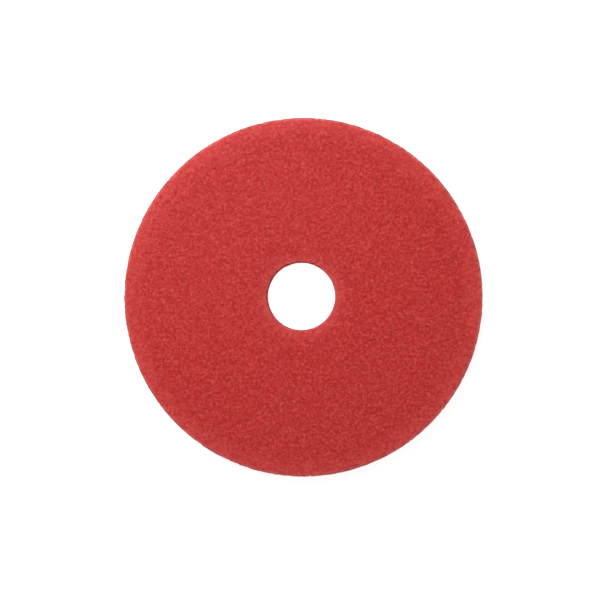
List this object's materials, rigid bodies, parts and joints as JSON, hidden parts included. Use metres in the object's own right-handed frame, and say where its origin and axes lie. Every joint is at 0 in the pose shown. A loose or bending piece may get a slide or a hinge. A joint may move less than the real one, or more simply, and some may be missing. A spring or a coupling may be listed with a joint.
{
  "type": "round non-woven floor pad",
  "caption": "Round, thick, red non-woven fibre floor pad with a round centre hole, for the driven pad holder of a rotary floor machine.",
  "frame": {"origin": "centre of the pad's lower face", "axes": "+Z along the pad's axis, up through the centre hole to the upper face"},
  "size_m": [0.4317, 0.4318, 0.0254],
  "materials": {
    "core_fibre": "open non-woven web of crimped fibres, matt",
    "face_fibre": "resin-bonded non-woven web, matt with a faint sheen"
  },
  "bodies": {
    "root": {"core_web": "core_fibre", "upper_face_web": "face_fibre", "lower_face_web": "face_fibre"}
  },
  "joints": []
}
